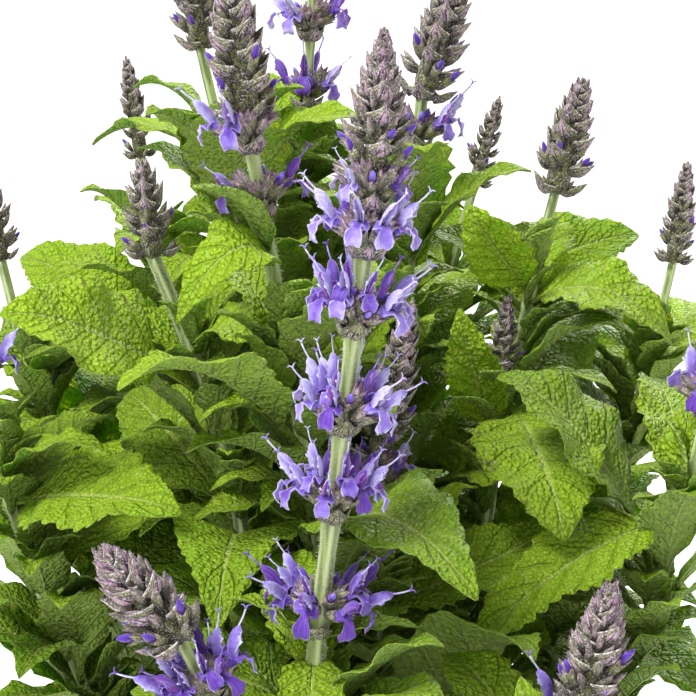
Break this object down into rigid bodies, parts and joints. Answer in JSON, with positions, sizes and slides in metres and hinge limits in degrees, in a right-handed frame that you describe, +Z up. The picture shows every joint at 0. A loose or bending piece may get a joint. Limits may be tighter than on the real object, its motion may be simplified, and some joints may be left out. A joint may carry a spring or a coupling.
{
  "type": "potted woodland sage plant",
  "caption": "Woodland sage in a plain clay pot: square leafy shoots with whorls of violet two-lipped flowers and tapering bud spikes.",
  "frame": {"origin": "middle of the flat foot of the pot, on the surface it stands on", "axes": "+Z up along the pot's axis; -Y is the side that the picture looks at; +X to the right in it"},
  "size_m": [0.2304, 0.2494, 0.3884],
  "materials": {
    "clay": "matte unglazed fired clay",
    "compost": "moist dark crumbly compost",
    "leaf_green": "matte wrinkled leaf with fine hairs",
    "bract_mauve": "dull mauve-brown hairy bracts",
    "petal_violet": "soft violet petals"
  },
  "bodies": {
    "root": {"compost": "compost", "flowers_back_open_1": "petal_violet", "flowers_back_open_2": "petal_violet", "flowers_far_left_1": "petal_violet", "flowers_far_right_1": "petal_violet", "flowers_front_1": "petal_violet", "flowers_front_2": "petal_violet", "flowers_front_3": "petal_violet", "flowers_front_4": "petal_violet", "flowers_front_5": "petal_violet", "flowers_front_6": "petal_violet", "flowers_front_left_1": "petal_violet", "flowers_front_right_1": "petal_violet", "flowers_left_tall_1": "petal_violet", "flowers_left_tall_2": "petal_violet", "flowers_middle_bud_1": "petal_violet", "flowers_rear_1": "petal_violet", "flowers_right_tall_1": "petal_violet", "pot": "clay", "spike_back_left_bud": "bract_mauve", "spike_back_open": "bract_mauve", "spike_back_right_bud": "bract_mauve", "spike_back_tall": "bract_mauve", "spike_far_left": "bract_mauve", "spike_far_right": "bract_mauve", "spike_front": "bract_mauve", "spike_front_left": "bract_mauve", "spike_front_right": "bract_mauve", "spike_left_bud": "bract_mauve", "spike_left_tall": "bract_mauve", "spike_low_right_bud": "bract_mauve", "spike_middle_bud": "bract_mauve", "spike_rear": "bract_mauve", "spike_rear_left": "bract_mauve", "spike_rear_right": "bract_mauve", "spike_right_bud": "bract_mauve", "spike_right_tall": "bract_mauve", "stem_back_left_bud": "leaf_green", "stem_back_open": "leaf_green", "stem_back_right_bud": "leaf_green", "stem_back_tall": "leaf_green", "stem_far_left": "leaf_green", "stem_far_right": "leaf_green", "stem_front": "leaf_green", "stem_front_left": "leaf_green", "stem_front_right": "leaf_green", "stem_left_bud": "leaf_green", "stem_left_tall": "leaf_green", "stem_low_right_bud": "leaf_green", "stem_middle_bud": "leaf_green", "stem_rear": "leaf_green", "stem_rear_left": "leaf_green", "stem_rear_right": "leaf_green", "stem_right_bud": "leaf_green", "stem_right_tall": "leaf_green"}
  },
  "joints": []
}
